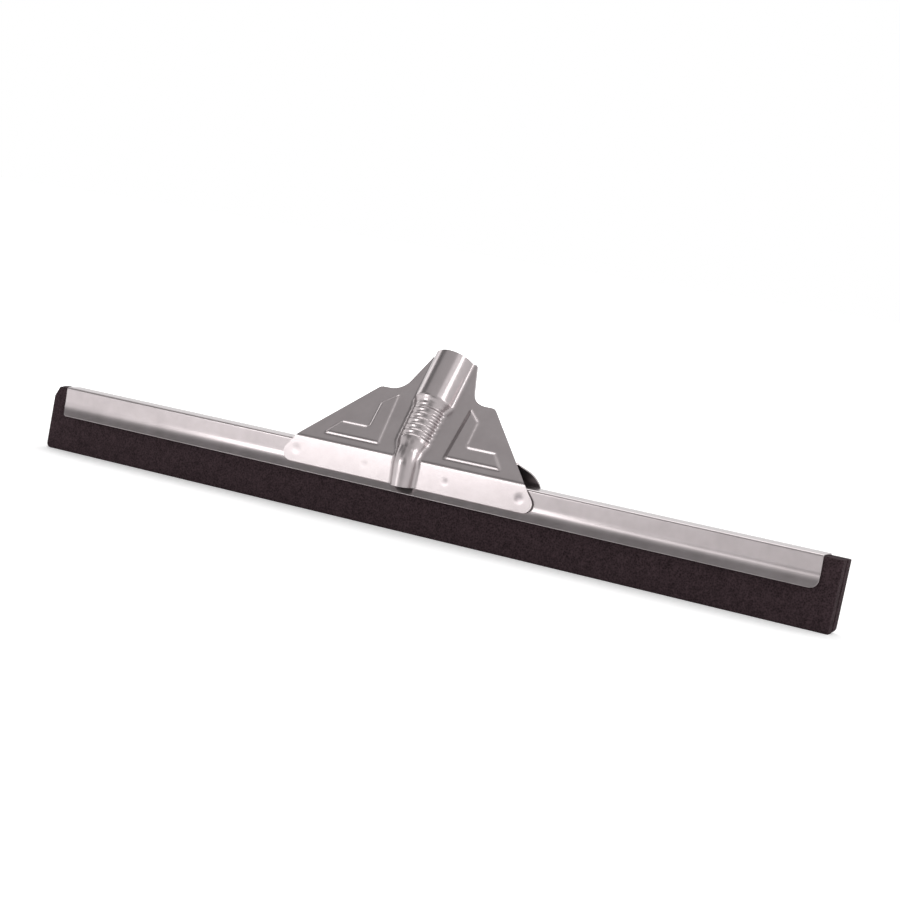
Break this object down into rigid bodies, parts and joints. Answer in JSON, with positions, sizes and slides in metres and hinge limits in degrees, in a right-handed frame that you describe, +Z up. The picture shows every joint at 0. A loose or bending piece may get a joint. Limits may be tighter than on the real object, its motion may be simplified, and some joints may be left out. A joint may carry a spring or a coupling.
{
  "type": "floor squeegee head",
  "caption": "Floor squeegee head: double strip of black cellular rubber in a folded steel rail, with a leaning pressed-steel socket that takes a round handle.",
  "frame": {"origin": "middle of the wiping edge, at half the blade's length, on the joint between the two rubber strips", "axes": "+X along the blade towards its right end seen from the front, +Y to the back, where the socket leans, +Z up, from the floor to the socket's mouth"},
  "size_m": [0.5512, 0.0605, 0.1116],
  "materials": {
    "plated_steel": "bright zinc plating on cold-pressed sheet, semi-gloss",
    "cellular_rubber": "open-pored cut cellular rubber, matt black",
    "weld_steel": "fused steel inside the spot welds"
  },
  "bodies": {
    "root": {"front_bracket": "plated_steel", "rear_bracket": "plated_steel", "blade_rail": "plated_steel", "front_rubber_strip": "cellular_rubber", "rear_rubber_strip": "cellular_rubber", "front_flange_welds": "weld_steel", "rear_flange_welds": "weld_steel", "wing_welds": "weld_steel"}
  },
  "joints": []
}
